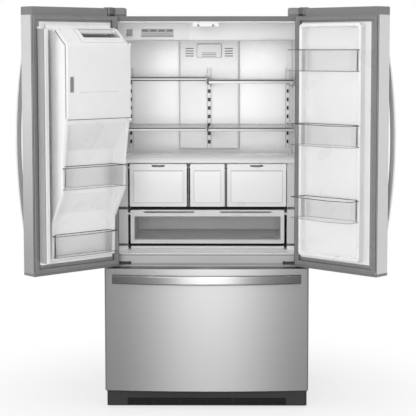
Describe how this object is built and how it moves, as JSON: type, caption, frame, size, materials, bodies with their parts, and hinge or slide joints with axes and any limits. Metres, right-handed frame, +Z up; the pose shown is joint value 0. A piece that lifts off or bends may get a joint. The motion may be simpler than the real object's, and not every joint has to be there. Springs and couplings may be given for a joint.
{
  "type": "french door refrigerator",
  "caption": "French door refrigerator with a bottom freezer drawer, glass shelves, crispers, clear door bins and an ice compartment in one door.",
  "frame": {"origin": "on the floor, under the middle of the box round the part as pictured, with both doors open", "axes": "+X to the viewer's right, +Y to the back of the cabinet, +Z up"},
  "size_m": [1.6204, 1.1879, 1.781],
  "materials": {
    "door_steel": "brushed",
    "handle_steel": "brushed",
    "cabinet_paint": "satin",
    "rear_sheet": "galvanised",
    "base_steel": "satin",
    "insulation": "rigid foam",
    "liner_white": "smooth",
    "fitting_white": "fine matte",
    "ice_door_white": "smooth",
    "ladder_paint": "powder coat",
    "shelf_glass": "clear",
    "clear_plastic": "clear",
    "drawer_white": "frosted",
    "slider_grey": "fine matte",
    "cap_grey": "fine matte",
    "hinge_metal": "satin",
    "gasket_grey": "soft",
    "mullion_grey": "fine matte",
    "grille_dark": "fine matte",
    "machine_black": "satin",
    "fan_plastic": "smooth",
    "roller_plastic": "smooth",
    "slide_steel": "zinc",
    "dispenser_dark": "smooth",
    "paddle_grey": "smooth",
    "valve_plastic": "smooth"
  },
  "bodies": {
    "cabinet": {"air_filter_cover": "fitting_white", "air_tower": "fitting_white", "base_frame": "base_steel", "base_grille": "grille_dark", "cabinet_shell": "cabinet_paint", "ceiling_panel": "fitting_white", "centre_rail": "cabinet_paint", "crisper_cover": "fitting_white", "door_hinges": "hinge_metal", "fan_motor": "machine_black", "foam_insulation": "insulation", "freezer_duct_cover": "fitting_white", "freezer_liner": "liner_white", "freezer_outer_slides": "slide_steel", "fresh_food_liner": "liner_white", "hinge_covers": "cap_grey", "ice_maker": "fitting_white", "levelling_legs": "base_steel", "machine_cover": "rear_sheet", "mullion_guide": "fitting_white", "rear_panel": "rear_sheet", "sealed_system": "machine_black", "shelf_frames": "ladder_paint", "shelf_ladders": "ladder_paint", "shelf_panes": "shelf_glass", "side_rails": "fitting_white", "water_inlet": "valve_plastic"},
    "rear_rollers": {"rear_rollers": "roller_plastic"},
    "condenser_fan": {"condenser_fan": "fan_plastic"},
    "crisper_left": {"crisper_left": "clear_plastic"},
    "crisper_centre": {"crisper_centre": "clear_plastic"},
    "crisper_right": {"crisper_right": "clear_plastic"},
    "humidity_slider_left": {"humidity_slider_left": "slider_grey"},
    "humidity_slider_right": {"humidity_slider_right": "slider_grey"},
    "pantry_drawer": {"pantry_drawer": "drawer_white"},
    "freezer_drawer": {"freezer_front": "door_steel", "freezer_inner_panel": "liner_white", "freezer_gasket": "gasket_grey", "freezer_handle": "handle_steel", "freezer_inner_slides": "slide_steel", "freezer_basket": "drawer_white"},
    "freezer_tray": {"freezer_tray": "clear_plastic"},
    "left_door": {"left_door_panel": "door_steel", "left_door_caps": "cap_grey", "left_handle": "handle_steel", "left_door_gasket": "gasket_grey", "left_door_liner": "liner_white", "left_door_bins": "clear_plastic", "ice_bucket": "clear_plastic", "dispenser_housing": "dispenser_dark"},
    "mullion_bar": {"mullion_bar": "mullion_grey"},
    "ice_door": {"ice_door": "ice_door_white"},
    "ice_latch": {"ice_latch": "ice_door_white"},
    "dispenser_paddle": {"dispenser_paddle": "paddle_grey"},
    "right_door": {"right_door_panel": "door_steel", "right_door_caps": "cap_grey", "right_handle": "handle_steel", "right_door_gasket": "gasket_grey", "right_door_liner": "liner_white", "right_door_bins": "clear_plastic"}
  },
  "joints": [
    {"name": "left_door_hinge", "type": "hinge", "parent": "cabinet", "child": "left_door", "pos_m": [-0.427, -0.212, 0], "axis": [0, 0, -1], "range_deg": [-137.5, 0]},
    {"name": "right_door_hinge", "type": "hinge", "parent": "cabinet", "child": "right_door", "pos_m": [0.427, -0.212, 0], "axis": [0, 0, 1], "range_deg": [-137.5, 0]},
    {"name": "mullion_flip", "type": "hinge", "parent": "left_door", "child": "mullion_bar", "pos_m": [-0.68449, -0.5216, 1.192], "axis": [0, 0, 1], "range_deg": [-90, 0]},
    {"name": "ice_door_hinge", "type": "hinge", "parent": "left_door", "child": "ice_door", "pos_m": [-0.32682, -0.37017, 1.446], "axis": [0, 0, 1], "range_deg": [0, 100]},
    {"name": "ice_latch_slide", "type": "slide", "parent": "ice_door", "child": "ice_latch", "axis": [0.7373, 0.6756, 0], "range_m": [0, 0.005], "stiffness_N_per_m": 200},
    {"name": "dispenser_paddle_hinge", "type": "hinge", "parent": "left_door", "child": "dispenser_paddle", "pos_m": [-0.57782, -0.34345, 1.2192], "axis": [-0.7373, -0.6756, 0], "range_deg": [0, 8], "stiffness_Nm_per_rad": 0.4},
    {"name": "freezer_drawer_slide", "type": "slide", "parent": "cabinet", "child": "freezer_drawer", "axis": [0, -1, 0], "range_m": [0, 0.4]},
    {"name": "freezer_tray_slide", "type": "slide", "parent": "freezer_drawer", "child": "freezer_tray", "axis": [0, -1, 0], "range_m": [0, 0.1]},
    {"name": "crisper_left_slide", "type": "slide", "parent": "cabinet", "child": "crisper_left", "axis": [0, -1, 0], "range_m": [0, 0.25]},
    {"name": "crisper_centre_slide", "type": "slide", "parent": "cabinet", "child": "crisper_centre", "axis": [0, -1, 0], "range_m": [0, 0.25]},
    {"name": "crisper_right_slide", "type": "slide", "parent": "cabinet", "child": "crisper_right", "axis": [0, -1, 0], "range_m": [0, 0.25]},
    {"name": "pantry_drawer_slide", "type": "slide", "parent": "cabinet", "child": "pantry_drawer", "axis": [0, -1, 0], "range_m": [0, 0.25]},
    {"name": "humidity_slider_left_slide", "type": "slide", "parent": "crisper_left", "child": "humidity_slider_left", "axis": [1, 0, 0], "range_m": [-0.014, 0.014]},
    {"name": "humidity_slider_right_slide", "type": "slide", "parent": "crisper_right", "child": "humidity_slider_right", "axis": [1, 0, 0], "range_m": [-0.014, 0.014]},
    {"name": "rear_roller_spin", "type": "hinge", "parent": "cabinet", "child": "rear_rollers", "pos_m": [0, 0.523, 0.019], "axis": [1, 0, 0], "continuous": true},
    {"name": "condenser_fan_spin", "type": "hinge", "parent": "cabinet", "child": "condenser_fan", "pos_m": [0.149, 0.458, 0.142], "axis": [1, 0, 0], "continuous": true}
  ]
}
